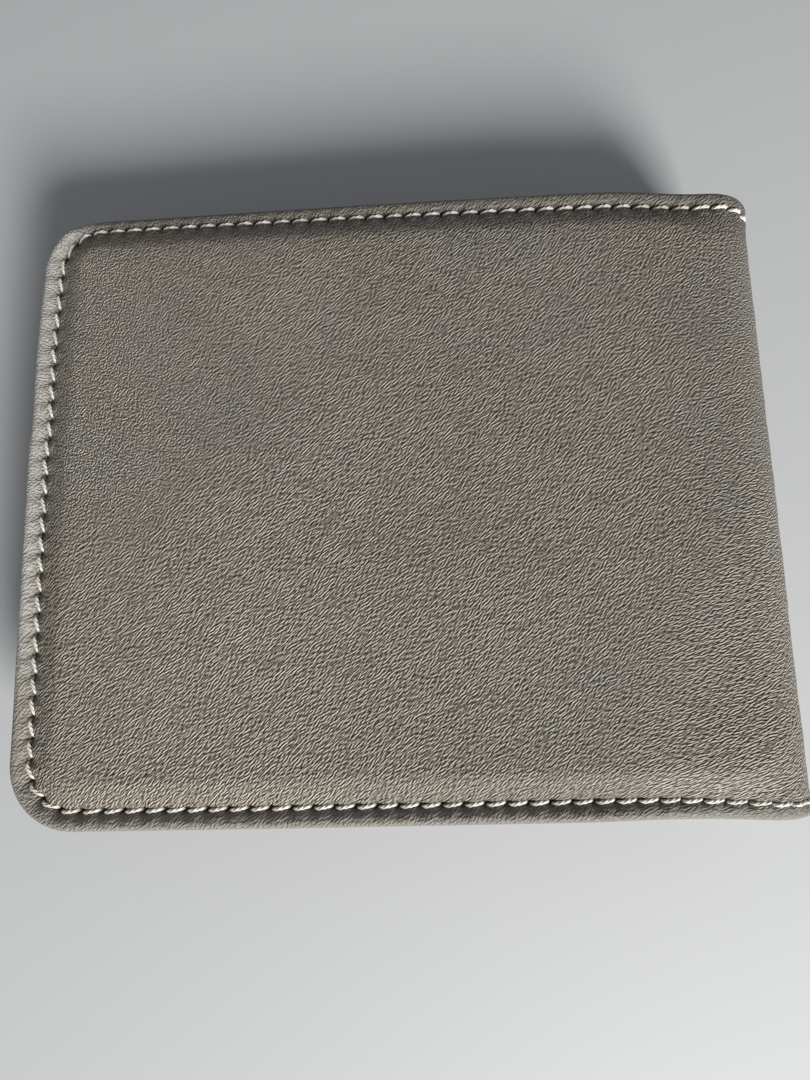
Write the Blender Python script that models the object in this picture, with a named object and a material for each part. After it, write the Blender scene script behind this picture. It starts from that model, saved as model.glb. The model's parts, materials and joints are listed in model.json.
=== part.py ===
"""Trifold wallet, lying closed on its back leaf with the fold at +X.

Two padded outer leaves hang on a rounded spine, and a centre leaf with an ID window is sewn to the
spine between them. Metres, +Z up. The origin is under the middle of the back leaf, at its resting
face. +X runs from the free edge to the spine, +Y to the open top edge of the bill compartment.
"""

import math

import bmesh
import bpy

MM = 0.001

# Outside of the closed wallet
LENGTH = 114 * MM
HEIGHT = 95 * MM
THICKNESS = 22 * MM
CORNER_RADIUS = 8.5 * MM
SPINE_RADIUS = 8 * MM

# Sheet thicknesses
LEATHER = 1.2 * MM
PADDING = 0.8 * MM
LINING = 0.3 * MM
BILL_WALL = 0.6 * MM
POCKET_LEATHER = 0.5 * MM
PANEL = 0.7 * MM
WINDOW_FILM = 0.25 * MM
WINDOW_FRAME = 0.65 * MM

# Room between sheets
FIT_GAP = 0.3 * MM
BILL_ROOM = 0.6 * MM
CARD_ROOM = 0.9 * MM

# Seam: a groove round the outer face, with the thread laid in it
SEAM_INSET = 3.2 * MM
THREAD_RADIUS = 0.25 * MM
GROOVE_WIDTH = 2 * THREAD_RADIUS + 2 * FIT_GAP
GROOVE_DEPTH = 0.85 * MM
THREAD_DEPTH = GROOVE_DEPTH - FIT_GAP - THREAD_RADIUS

# Depth of each sheet's outer side below the outer face of its leaf
COVER_DEPTH = 0.0
PADDING_DEPTH = COVER_DEPTH + LEATHER + FIT_GAP
LINING_DEPTH = PADDING_DEPTH + PADDING + FIT_GAP
BILL_WALL_DEPTH = LINING_DEPTH + LINING + BILL_ROOM
UPPER_DEPTH = BILL_WALL_DEPTH + BILL_WALL + CARD_ROOM
MIDDLE_DEPTH = UPPER_DEPTH + POCKET_LEATHER + CARD_ROOM
LOWER_DEPTH = MIDDLE_DEPTH + POCKET_LEATHER + CARD_ROOM

# Outline of the leaves
FREE_EDGE_X = -LENGTH / 2
SPINE_X = LENGTH / 2
TOP_Y = HEIGHT / 2
BEND_X = SPINE_X - SPINE_RADIUS
TURN_IN = 1.0 * MM
PADDING_INSET = 6 * MM
BILL_WALL_DROP = 3.5 * MM

# Card pockets on each leaf
POCKET_END_X = BEND_X - 3 * MM
POCKET_FOOT_Y = -TOP_Y + TURN_IN
UPPER_TOP_Y = 34 * MM
MIDDLE_TOP_Y = 21.5 * MM
LOWER_TOP_Y = 9 * MM
STRIP_HEIGHT = 16 * MM
CARD_DROP = 52 * MM
POCKET_LINING_INSET = 5 * MM

# Centre leaf, its layers stacked about the middle of the wallet
CENTRE_FREE_X = -50 * MM
CENTRE_PANEL_END_X = 46.7 * MM
CENTRE_HALF_HEIGHT = 41.5 * MM
CENTRE_CORNER = 6 * MM
HINGE_STRIP_HALF_HEIGHT = 38 * MM
CENTRE_HINGE_X = 52.4 * MM
SLIP_TOP_Y = 18 * MM
THUMB_RADIUS = 9 * MM
WINDOW_LENGTH = 82 * MM
WINDOW_HEIGHT = 50 * MM
WINDOW_CORNER = 4 * MM
WINDOW_CENTRE_Y = -6 * MM
FILM_MARGIN = 3 * MM
CENTRE_STACK = POCKET_LEATHER + PANEL + 2 * CARD_ROOM + WINDOW_FILM + FIT_GAP + WINDOW_FRAME

# Fold lines, just outside the middle of each rounded corner of the spine
FOLD_ANGLE = math.radians(45)
FOLD_OUTSIDE = 0.2 * MM
FOLD_REACH = (SPINE_RADIUS + FOLD_OUTSIDE) * math.cos(FOLD_ANGLE)
FOLD_X = BEND_X + FOLD_REACH
BACK_FOLD_Z = SPINE_RADIUS - FOLD_REACH
FRONT_FOLD_Z = THICKNESS - BACK_FOLD_Z

ARC_STEPS = 6
CUTTER_OVERRUN = 1 * MM
WELD_DISTANCE = 0.0001 * MM

LOOKS = {
    "cover_leather": ((0.185, 0.155, 0.125, 1.0), 0.55),
    "pocket_leather": ((0.150, 0.125, 0.100, 1.0), 0.50),
    "lining_fabric": ((0.060, 0.055, 0.050, 1.0), 0.85),
    "padding_foam": ((0.550, 0.530, 0.480, 1.0), 0.95),
    "sewing_thread": ((0.720, 0.680, 0.580, 1.0), 0.60),
    "window_film": ((0.800, 0.820, 0.820, 0.35), 0.15),
}


# --- scene ---------------------------------------------------------------------------------------


def clear_scene():
    for obj in list(bpy.data.objects):
        bpy.data.objects.remove(obj, do_unlink=True)


def new_collection(name):
    collection = bpy.data.collections.new(name)
    bpy.context.scene.collection.children.link(collection)
    return collection


def own_material(name, look):
    """A Principled material for one sub-part, in the colour and roughness of its stuff."""
    colour, roughness = LOOKS[look]
    material = bpy.data.materials.new(name)
    material.use_nodes = True
    shader = material.node_tree.nodes["Principled BSDF"]
    shader.inputs["Base Color"].default_value = colour
    shader.inputs["Alpha"].default_value = colour[3]
    shader.inputs["Roughness"].default_value = roughness
    shader.inputs["Metallic"].default_value = 0.0
    material.diffuse_color = colour
    return material


def pivot(name, x, z, parent=None):
    """An empty on a fold line, which everything on that body hangs from."""
    empty = bpy.data.objects.new(name, None)
    empty.empty_display_size = 10 * MM
    PARTS.objects.link(empty)
    empty.parent = parent
    empty.location = (x, 0.0, z)
    if parent:
        empty.location -= world_place(parent)
    return empty


def world_place(obj):
    """Where an unrotated empty is, added up through its parents."""
    place = obj.location.copy()
    while obj.parent:
        obj = obj.parent
        place += obj.location
    return place


def finish_part(obj, look, body):
    obj.data.materials.append(own_material(obj.name, look))
    obj.parent = body
    obj.location -= world_place(body)
    return obj


# --- outlines ------------------------------------------------------------------------------------


def arc(centre, radius, start, end):
    """Points on an arc in a plane, from angle start to angle end, in radians."""
    points = []
    for step in range(ARC_STEPS + 1):
        angle = start + (end - start) * step / ARC_STEPS
        points.append((centre[0] + radius * math.cos(angle), centre[1] + radius * math.sin(angle)))
    return points


def rounded_box(x0, x1, y0, y1, free_corner, spine_corner=0.0):
    """Outline of a sheet, anticlockwise, with one radius at its free edge and one at its spine edge."""
    quarter = math.pi / 2
    corners = (
        (x0 + free_corner, y0 + free_corner, free_corner, 2),
        (x1 - spine_corner, y0 + spine_corner, spine_corner, 3),
        (x1 - spine_corner, y1 - spine_corner, spine_corner, 4),
        (x0 + free_corner, y1 - free_corner, free_corner, 5),
    )
    points = []
    for x, y, radius, turn in corners:
        if radius > 0.0:
            points += arc((x, y), radius, turn * quarter, (turn + 1) * quarter)
        else:
            points.append((x, y))
    return points


def leaf_outline(inset, end_x):
    """The leaf's rounded outline, moved in by inset on its three sewn sides."""
    return rounded_box(
        FREE_EDGE_X + inset, end_x, -TOP_Y + inset, TOP_Y - inset, max(CORNER_RADIUS - inset, 0.0)
    )


def seam_line(inset, end_x):
    """The leaf's three sewn sides as an open line at an inset, from the top of the spine round."""
    corner = CORNER_RADIUS - inset
    x = FREE_EDGE_X + CORNER_RADIUS
    y = TOP_Y - CORNER_RADIUS
    line = [(end_x, TOP_Y - inset)]
    line += arc((x, y), corner, math.pi / 2, math.pi)
    line += arc((x, -y), corner, math.pi, 3 * math.pi / 2)
    line.append((end_x, -TOP_Y + inset))
    return line


def fold_edge_angle(radius):
    """Angle where a sheet at this radius stops, half a fit gap short of the fold line."""
    return FOLD_ANGLE - math.asin(FIT_GAP / 2 / radius)


def leaf_lip(depth):
    """(x, z) points of the back leaf's curved lip at a depth, from the flat up to the fold line."""
    radius = SPINE_RADIUS - depth
    start = -math.pi / 2
    return arc((BEND_X, SPINE_RADIUS), radius, start, start + fold_edge_angle(radius))


def spine_path(depth):
    """(x, z) points across the spine at a depth, from the back fold line to the front one."""
    radius = SPINE_RADIUS - depth
    edge = fold_edge_angle(radius)
    lower = arc((BEND_X, SPINE_RADIUS), radius, -edge, 0.0)
    upper = arc((BEND_X, THICKNESS - SPINE_RADIUS), radius, 0.0, edge)
    return lower + upper


def leaf_path(depth, start_x):
    return [(start_x, depth)] + leaf_lip(depth)


def to_front(points):
    """A back leaf section carried over to the front leaf."""
    return [(x, THICKNESS - z) for x, z in reversed(points)]


def band(outer, inner):
    """The closed outline between two lines that run the same way."""
    return outer + inner[::-1]


# --- solids --------------------------------------------------------------------------------------


def flat_curve(name, splines, thickness, collection):
    """A flat outline, with any holes as further splines, given its thickness about its own plane."""
    curve = bpy.data.curves.new(name, "CURVE")
    curve.dimensions = "2D"
    curve.fill_mode = "BOTH"
    curve.extrude = thickness / 2
    for points in splines:
        spline = curve.splines.new("POLY")
        spline.points.add(len(points) - 1)
        for point, (x, y) in zip(spline.points, points):
            point.co = (x, y, 0.0, 1.0)
        spline.use_cyclic_u = True
    obj = bpy.data.objects.new(name, curve)
    collection.objects.link(obj)
    return obj


def sheet(name, splines, low_z, thickness):
    """A flat sheet lying level, its lower face at low_z."""
    obj = flat_curve(name, splines, thickness, PARTS)
    obj.location = (0.0, 0.0, low_z + thickness / 2)
    return obj


def prism(name, section, half_width, collection):
    """A section in the XZ plane drawn out along Y, the same distance each way."""
    obj = flat_curve(name, [section], 2 * half_width, collection)
    obj.rotation_euler = (math.pi / 2, 0.0, 0.0)
    return obj


def as_mesh(obj):
    """The curve object remade as a mesh object with its caps welded, for Booleans."""
    bpy.context.view_layer.update()
    graph = bpy.context.evaluated_depsgraph_get()
    mesh = bpy.data.meshes.new_from_object(obj.evaluated_get(graph))
    welded = bmesh.new()
    welded.from_mesh(mesh)
    bmesh.ops.remove_doubles(welded, verts=welded.verts, dist=WELD_DISTANCE)
    bmesh.ops.recalc_face_normals(welded, faces=welded.faces)
    welded.to_mesh(mesh)
    welded.free()
    name = obj.name
    collection = obj.users_collection[0]
    place = obj.matrix_world.copy()
    bpy.data.objects.remove(obj)
    remade = bpy.data.objects.new(name, mesh)
    collection.objects.link(remade)
    remade.matrix_world = place
    return remade


def as_cutter(obj):
    cutter = as_mesh(obj)
    cutter.hide_render = True
    cutter.display_type = "WIRE"
    return cutter


def add_boolean(obj, operation, cutter):
    modifier = obj.modifiers.new(cutter.name, "BOOLEAN")
    modifier.operation = operation
    modifier.solver = "EXACT"
    modifier.object = cutter
    return obj


def upright_cutter(name, outline):
    """An outline drawn up through the whole thickness of the wallet."""
    obj = flat_curve(name, [outline], THICKNESS + 4 * CUTTER_OVERRUN, CUTTERS)
    obj.location = (0.0, 0.0, THICKNESS / 2)
    return as_cutter(obj)


def seam_groove_cutter():
    """The groove: a shell that wraps the outside of the whole wallet, kept only along the seam."""
    start_x = FREE_EDGE_X - CUTTER_OVERRUN

    def wrap(depth):
        radius = SPINE_RADIUS - depth
        quarter = math.pi / 2
        lower = arc((BEND_X, SPINE_RADIUS), radius, -quarter, 0.0)
        upper = arc((BEND_X, THICKNESS - SPINE_RADIUS), radius, 0.0, quarter)
        return [(start_x, depth)] + lower + upper + [(start_x, THICKNESS - depth)]

    section = band(wrap(-CUTTER_OVERRUN), wrap(GROOVE_DEPTH))
    shell = as_cutter(prism("seam_groove_shell", section, TOP_Y + CUTTER_OVERRUN, CUTTERS))
    end_x = SPINE_X + 2 * CUTTER_OVERRUN
    outer = seam_line(SEAM_INSET - GROOVE_WIDTH / 2, end_x)
    inner = seam_line(SEAM_INSET + GROOVE_WIDTH / 2, end_x)
    track = upright_cutter("seam_groove_track", band(outer, inner))
    return add_boolean(shell, "INTERSECT", track)


def leaf_sheet(name, is_front, depth, thickness, outline_cutter):
    """A sheet over a leaf's full width, with its curved lip at the spine, trimmed to an outline."""
    start_x = FREE_EDGE_X - CUTTER_OVERRUN
    section = band(leaf_path(depth, start_x), leaf_path(depth + thickness, start_x))
    if is_front:
        section = to_front(section)
    obj = as_mesh(prism(name, section, TOP_Y + CUTTER_OVERRUN, PARTS))
    return add_boolean(obj, "INTERSECT", outline_cutter)


def spine_sheet(name, depth, thickness, outline_cutter):
    section = band(spine_path(depth), spine_path(depth + thickness))
    obj = as_mesh(prism(name, section, TOP_Y + CUTTER_OVERRUN, PARTS))
    return add_boolean(obj, "INTERSECT", outline_cutter)


def low_z(is_front, depth, thickness):
    """Height of a level sheet's lower face, from its depth below its leaf's outer face."""
    return THICKNESS - depth - thickness if is_front else depth


def thread(name, points):
    """A round cord along a line of (x, y, z) points."""
    curve = bpy.data.curves.new(name, "CURVE")
    curve.dimensions = "3D"
    curve.bevel_depth = THREAD_RADIUS
    curve.bevel_resolution = 1
    curve.use_fill_caps = True
    spline = curve.splines.new("POLY")
    spline.points.add(len(points) - 1)
    for point, place in zip(spline.points, points):
        point.co = (*place, 1.0)
    obj = bpy.data.objects.new(name, curve)
    PARTS.objects.link(obj)
    return obj


# --- sub-parts of the two outer leaves -----------------------------------------------------------


def build_cover(side, body):
    obj = leaf_sheet(f"cover_{side}", side == "front", COVER_DEPTH, LEATHER, COVER_OUTLINE)
    add_boolean(obj, "DIFFERENCE", SEAM_GROOVE)
    return finish_part(obj, "cover_leather", body)


def build_seam_thread(side, body):
    """The thread on three sides of a leaf, its two ends carried a little way round the spine."""
    lip = leaf_lip(THREAD_DEPTH)[:-1]
    flat = seam_line(SEAM_INSET, BEND_X)[1:-1]
    seam_y = TOP_Y - SEAM_INSET
    points = [(x, seam_y, z) for x, z in reversed(lip)]
    points += [(x, y, THREAD_DEPTH) for x, y in flat]
    points += [(x, -seam_y, z) for x, z in lip]
    if side == "front":
        points = [(x, y, THICKNESS - z) for x, y, z in points]
    return finish_part(thread(f"seam_thread_{side}", points), "sewing_thread", body)


def build_padding(side, body):
    outline = leaf_outline(PADDING_INSET, BEND_X - PADDING_INSET / 2)
    z = low_z(side == "front", PADDING_DEPTH, PADDING)
    return finish_part(sheet(f"padding_{side}", [outline], z, PADDING), "padding_foam", body)


def build_lining(side, body):
    obj = leaf_sheet(f"lining_{side}", side == "front", LINING_DEPTH, LINING, LINING_OUTLINE)
    return finish_part(obj, "lining_fabric", body)


def build_bill_wall(side, body):
    """The inner wall of the bill compartment, cut lower than the cover so that bills show."""
    obj = leaf_sheet(
        f"bill_wall_{side}", side == "front", BILL_WALL_DEPTH, BILL_WALL, BILL_WALL_OUTLINE
    )
    return finish_part(obj, "pocket_leather", body)


def build_pocket_strip(side, level, top_y, depth, body):
    """A leather strip across the leaf that forms the mouth of one card slot."""
    outline = rounded_box(
        FREE_EDGE_X + TURN_IN, POCKET_END_X, top_y - STRIP_HEIGHT, top_y, 0.0
    )
    z = low_z(side == "front", depth, POCKET_LEATHER)
    obj = sheet(f"{side}_pocket_{level}", [outline], z, POCKET_LEATHER)
    return finish_part(obj, "pocket_leather", body)


def build_pocket_lining(side, level, top_y, depth, body):
    """The thin cloth that carries on below a strip and holds up the foot of the card."""
    outline = rounded_box(
        FREE_EDGE_X + POCKET_LINING_INSET,
        POCKET_END_X - POCKET_LINING_INSET,
        top_y - CARD_DROP,
        top_y - STRIP_HEIGHT - FIT_GAP,
        0.0,
    )
    z = low_z(side == "front", depth, LINING)
    obj = sheet(f"{side}_pocket_{level}_lining", [outline], z, LINING)
    return finish_part(obj, "lining_fabric", body)


def build_lower_pocket(side, body):
    """The lowest pocket, which runs down to the leaf's foot and shares its rounded corner."""
    corner = CORNER_RADIUS - TURN_IN
    x0 = FREE_EDGE_X + TURN_IN
    outline = arc((x0 + corner, POCKET_FOOT_Y + corner), corner, math.pi, 3 * math.pi / 2)
    outline += [(POCKET_END_X, POCKET_FOOT_Y), (POCKET_END_X, LOWER_TOP_Y), (x0, LOWER_TOP_Y)]
    z = low_z(side == "front", LOWER_DEPTH, POCKET_LEATHER)
    obj = sheet(f"{side}_pocket_lower", [outline], z, POCKET_LEATHER)
    return finish_part(obj, "pocket_leather", body)


def build_leaf(side, body):
    build_cover(side, body)
    build_seam_thread(side, body)
    build_padding(side, body)
    build_lining(side, body)
    build_bill_wall(side, body)
    slots = (("upper", UPPER_TOP_Y, UPPER_DEPTH), ("middle", MIDDLE_TOP_Y, MIDDLE_DEPTH))
    for level, top_y, depth in slots:
        build_pocket_strip(side, level, top_y, depth, body)
        build_pocket_lining(side, level, top_y, depth, body)
    build_lower_pocket(side, body)


# --- sub-parts of the spine ----------------------------------------------------------------------


def build_spine_threads(body):
    seam_y = TOP_Y - SEAM_INSET
    path = spine_path(THREAD_DEPTH)[1:-1]
    for end, y in (("top", seam_y), ("bottom", -seam_y)):
        points = [(x, y, z) for x, z in path]
        finish_part(thread(f"spine_thread_{end}", points), "sewing_thread", body)


def build_spine(body):
    cover = spine_sheet("cover_spine", COVER_DEPTH, LEATHER, COVER_OUTLINE)
    add_boolean(cover, "DIFFERENCE", SEAM_GROOVE)
    finish_part(cover, "cover_leather", body)
    lining = spine_sheet("lining_spine", LINING_DEPTH, LINING, LINING_OUTLINE)
    finish_part(lining, "lining_fabric", body)
    wall = spine_sheet("bill_wall_spine", BILL_WALL_DEPTH, BILL_WALL, BILL_WALL_OUTLINE)
    finish_part(wall, "pocket_leather", body)
    build_spine_threads(body)


# --- sub-parts of the centre leaf ----------------------------------------------------------------


def centre_outline(top_y):
    return rounded_box(
        CENTRE_FREE_X, CENTRE_PANEL_END_X, -CENTRE_HALF_HEIGHT, top_y, CENTRE_CORNER
    )


def window_outline(margin):
    """The ID window's opening, grown by a margin on every side."""
    centre_x = (CENTRE_FREE_X + CENTRE_PANEL_END_X) / 2
    half_length = WINDOW_LENGTH / 2 + margin
    half_height = WINDOW_HEIGHT / 2 + margin
    return rounded_box(
        centre_x - half_length,
        centre_x + half_length,
        WINDOW_CENTRE_Y - half_height,
        WINDOW_CENTRE_Y + half_height,
        WINDOW_CORNER,
        WINDOW_CORNER,
    )


def slip_pocket_outline():
    """The slip pocket's outline, with a round thumb notch in the middle of its mouth."""
    middle_x = (CENTRE_FREE_X + CENTRE_PANEL_END_X) / 2
    foot_y = -CENTRE_HALF_HEIGHT
    corner = CENTRE_CORNER
    outline = arc((CENTRE_FREE_X + corner, foot_y + corner), corner, math.pi, 3 * math.pi / 2)
    outline += [(CENTRE_PANEL_END_X, foot_y), (CENTRE_PANEL_END_X, SLIP_TOP_Y)]
    outline += arc((middle_x, SLIP_TOP_Y), THUMB_RADIUS, 0.0, -math.pi)
    outline.append((CENTRE_FREE_X, SLIP_TOP_Y))
    return outline


def build_centre_leaf(body):
    """The centre leaf's layers, from the side that faces the back leaf to the ID window."""
    z = (THICKNESS - CENTRE_STACK) / 2
    slip = sheet("centre_slip_pocket", [slip_pocket_outline()], z, POCKET_LEATHER)
    finish_part(slip, "pocket_leather", body)

    z += POCKET_LEATHER + CARD_ROOM
    panel = sheet("centre_panel", [centre_outline(CENTRE_HALF_HEIGHT)], z, PANEL)
    finish_part(panel, "pocket_leather", body)
    strip_outline = rounded_box(
        CENTRE_PANEL_END_X + FIT_GAP,
        CENTRE_HINGE_X - FIT_GAP,
        -HINGE_STRIP_HALF_HEIGHT,
        HINGE_STRIP_HALF_HEIGHT,
        0.0,
    )
    strip = sheet("centre_hinge_strip", [strip_outline], z, PANEL)
    finish_part(strip, "pocket_leather", body)

    z += PANEL + CARD_ROOM
    film = sheet("id_window_film", [window_outline(FILM_MARGIN)], z, WINDOW_FILM)
    finish_part(film, "window_film", body)

    z += WINDOW_FILM + FIT_GAP
    splines = [centre_outline(CENTRE_HALF_HEIGHT), window_outline(0.0)]
    frame = sheet("id_window_frame", splines, z, WINDOW_FRAME)
    finish_part(frame, "pocket_leather", body)


clear_scene()
PARTS = new_collection("trifold_wallet")
CUTTERS = new_collection("cutters")

CUTTER_END_X = SPINE_X + CUTTER_OVERRUN
COVER_OUTLINE = upright_cutter("cover_outline", leaf_outline(0.0, CUTTER_END_X))
LINING_OUTLINE = upright_cutter("lining_outline", leaf_outline(TURN_IN, CUTTER_END_X))
BILL_WALL_OUTLINE = upright_cutter(
    "bill_wall_outline",
    rounded_box(
        FREE_EDGE_X + TURN_IN, CUTTER_END_X, -TOP_Y + TURN_IN, TOP_Y - BILL_WALL_DROP, CORNER_RADIUS
    ),
)
SEAM_GROOVE = seam_groove_cutter()

back_leaf = pivot("back_leaf_frame", 0.0, 0.0)
spine = pivot("spine_fold_axis", FOLD_X, BACK_FOLD_Z, back_leaf)
front_leaf = pivot("front_fold_axis", FOLD_X, FRONT_FOLD_Z, spine)
centre_leaf = pivot("centre_fold_axis", CENTRE_HINGE_X, THICKNESS / 2, spine)

build_leaf("back", back_leaf)
build_leaf("front", front_leaf)
build_spine(spine)
build_centre_leaf(centre_leaf)
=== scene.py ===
import json
import math
from collections import namedtuple

import bmesh
import bpy
import numpy as np
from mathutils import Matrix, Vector


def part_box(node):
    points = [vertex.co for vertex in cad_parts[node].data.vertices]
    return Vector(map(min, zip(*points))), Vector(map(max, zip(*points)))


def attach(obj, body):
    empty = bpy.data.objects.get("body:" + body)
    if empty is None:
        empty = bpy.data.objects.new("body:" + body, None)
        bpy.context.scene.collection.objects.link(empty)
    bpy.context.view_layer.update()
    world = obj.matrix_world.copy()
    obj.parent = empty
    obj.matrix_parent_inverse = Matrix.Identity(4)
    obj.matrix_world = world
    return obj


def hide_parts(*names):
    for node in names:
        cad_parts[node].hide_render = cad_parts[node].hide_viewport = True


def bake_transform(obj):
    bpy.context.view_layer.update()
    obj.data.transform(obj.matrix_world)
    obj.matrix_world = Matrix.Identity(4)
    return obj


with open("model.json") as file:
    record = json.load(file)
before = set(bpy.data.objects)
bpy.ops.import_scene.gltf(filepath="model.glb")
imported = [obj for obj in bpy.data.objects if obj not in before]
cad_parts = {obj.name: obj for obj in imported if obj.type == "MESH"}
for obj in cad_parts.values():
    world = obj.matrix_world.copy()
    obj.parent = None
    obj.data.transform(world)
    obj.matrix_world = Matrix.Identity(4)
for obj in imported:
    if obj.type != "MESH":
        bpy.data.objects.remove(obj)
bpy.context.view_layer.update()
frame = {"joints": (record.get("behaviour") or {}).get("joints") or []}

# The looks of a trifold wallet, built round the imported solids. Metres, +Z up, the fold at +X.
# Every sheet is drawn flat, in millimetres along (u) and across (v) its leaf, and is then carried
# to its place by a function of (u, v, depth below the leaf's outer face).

MM = 0.001

# --- sizes from the frame, in millimetres ---


def span(node):
    """A CAD node's lowest and highest corners, in millimetres."""
    low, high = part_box(node)
    return low / MM, high / MM


def joint_place(name):
    joint = next(j for j in frame["joints"] if j["name"] == name)
    return Vector(joint["pos_m"]) / MM


COVER_LOW, COVER_HIGH = span("cover_front")
FREE_X = COVER_LOW.x
TOP_Y = COVER_HIGH.y
THICKNESS = COVER_HIGH.z
SPINE_X = span("cover_spine")[1].x
FOLD_OUTSIDE = 0.2
COS_FOLD = math.cos(math.radians(45))
SPINE_RADIUS = (joint_place("spine_fold").z + FOLD_OUTSIDE * COS_FOLD) / (1 - COS_FOLD)
BEND_X = SPINE_X - SPINE_RADIUS
FLAT_LENGTH = BEND_X - FREE_X
QUARTER = SPINE_RADIUS * math.pi / 2
MID_SPINE_U = FLAT_LENGTH + QUARTER + THICKNESS / 2 - SPINE_RADIUS

CORNER = 9.5
SEAM_INSET = 2.75
STITCH_PITCH = 3.0

# Depths below the outer face of a leaf
MARGIN_DEPTH = 1.8
HEM_DEPTH = 3.4
HEM_WIDTH = 8.0
SHELL_DEPTH = 2.5
LINING_DEPTH = (2.6, 2.9)
WALL_DEPTH = (3.5, 4.1)
EDGE_ROLL = (HEM_DEPTH - MARGIN_DEPTH) / 2

# How far the free edge of the closed front leaf hangs below its spine side
FRONT_DROOP = 3.6
DROOP_FROM_X = 45.0

# Its sewn margins bend down from MARGIN_REACH in from their edge, the top one by TOP_LEAN at the free
# corner and by TOP_LEAN_LOST less at the spine, and the bottom one by FOOT_LEAN at the spine
MARGIN_REACH = SEAM_INSET + 0.3
TOP_LEAN = 2.0
TOP_LEAN_LOST = 1.3
FOOT_LEAN = 2.6

# How far the leaves are folded out of square by the spine, and how much more so at its top
SKEW = 1.35
SKEW_MORE = 0.45

# How far the free edge stands out at its foot and draws in at its top
STEP_OUT = 0.35
DRAWN_IN = 0.8

# --- small maths ---


def smooth(low, high, x):
    t = np.clip((x - low) / (high - low), 0.0, 1.0)
    return t * t * (3 - 2 * t)


def bell(x, width):
    return np.exp(-((x / width) ** 2))


def plane_noise(x, y, seed):
    """Gradient noise over the plane, about -0.7..0.7, one cell per unit."""
    size = 64
    angles = np.random.default_rng(seed).uniform(0, 2 * math.pi, (size, size))
    column = np.floor(x).astype(int)
    row = np.floor(y).astype(int)
    fx = x - column
    fy = y - row

    def corner(dx, dy):
        angle = angles[(column + dx) % size, (row + dy) % size]
        return np.cos(angle) * (fx - dx) + np.sin(angle) * (fy - dy)

    ease_x = fx * fx * fx * (fx * (fx * 6 - 15) + 10)
    ease_y = fy * fy * fy * (fy * (fy * 6 - 15) + 10)
    low = corner(0, 0) * (1 - ease_x) + corner(1, 0) * ease_x
    high = corner(0, 1) * (1 - ease_x) + corner(1, 1) * ease_x
    return low * (1 - ease_y) + high * ease_y


def turned_noise(x, y, degrees, length, width, seed):
    """Noise stretched along a direction, for creases."""
    angle = math.radians(degrees)
    along = x * math.cos(angle) + y * math.sin(angle)
    across = -x * math.sin(angle) + y * math.cos(angle)
    return plane_noise(along / length, across / width, seed)


# --- places ---


def droop(x):
    """How far the front leaf hangs at x, growing towards its free edge."""
    t = np.clip((DROOP_FROM_X - x) / (DROOP_FROM_X - FREE_X), 0.0, None)
    return FRONT_DROOP * (0.35 * t + 0.65 * t * t)


def margin_sag(x, y):
    """The sewn margins lean down: the top one most at the free corner, the bottom one at the spine."""
    in_top = np.clip((y - TOP_Y + MARGIN_REACH) / MARGIN_REACH, 0.0, None)
    in_foot = np.clip((-y - TOP_Y + MARGIN_REACH) / MARGIN_REACH, 0.0, None)
    top = (TOP_LEAN - TOP_LEAN_LOST * smooth(FREE_X, SPINE_X - 15, x)) * in_top ** 1.3
    return top + FOOT_LEAN * smooth(24.0, 52.0, x) * in_foot ** 1.2


def skew(x, y):
    return (SKEW + SKEW_MORE * y / TOP_Y) * smooth(32.0, 58.0, x)


def edge_step(x, y):
    """The free edge steps out just below the mouth of the lowest pocket."""
    out = STEP_OUT * smooth(13.0, 7.5, y) - DRAWN_IN * smooth(22.0, 44.0, y)
    return out * smooth(FREE_X + 16, FREE_X + 2, x)


def leaf_place(side):
    """The function that carries (u, v, depth) on one leaf, round to the middle of the spine."""

    def place(u, v, depth):
        u, v, depth = np.broadcast_arrays(u, v, depth)
        angle = np.clip((u - FLAT_LENGTH) / SPINE_RADIUS, 0.0, math.pi / 2)
        riser = np.clip(u - FLAT_LENGTH - QUARTER, 0.0, None)
        radius = SPINE_RADIUS - depth
        flat_x = FREE_X + np.minimum(u, FLAT_LENGTH)
        x = flat_x + radius * np.sin(angle)
        z = SPINE_RADIUS - radius * np.cos(angle) + riser
        if side == "front":
            z = THICKNESS - z - droop(flat_x) - margin_sag(flat_x, v) * np.cos(angle)
        return np.stack([x - edge_step(flat_x, v), v - skew(x, v), z], axis=-1) * MM

    return place


def page_place(u, v, depth):
    """The centre leaf: u is x, and depth is counted from its middle towards the back leaf."""
    u, v, depth = np.broadcast_arrays(u, v, depth)
    z = THICKNESS / 2 - 0.5 * droop(u) - depth
    return np.stack([u, v, z], axis=-1) * MM


# --- sheets ---


def edge_lines(roll, reach, step):
    """Insets of grid lines from an edge: close together round the roll, then even out to reach."""
    rounds = 4
    lines = [roll * (1 - math.cos(math.pi / 2 * i / rounds)) for i in range(rounds + 1)]
    count = max(1, round((reach - roll) / step))
    lines += list(np.linspace(roll, reach, count + 1)[1:])
    return np.array(lines)


def grid_lines(start, end, near, far, step):
    """Grid lines from start to end, with edge lines near either side where they are given."""
    low = start + near if near is not None else np.array([start])
    high = end - far[::-1] if far is not None else np.array([end])
    count = max(1, round((high[0] - low[-1]) / step))
    middle = np.linspace(low[-1], high[0], count + 1)[1:-1]
    return np.concatenate([low, middle, high])


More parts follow.
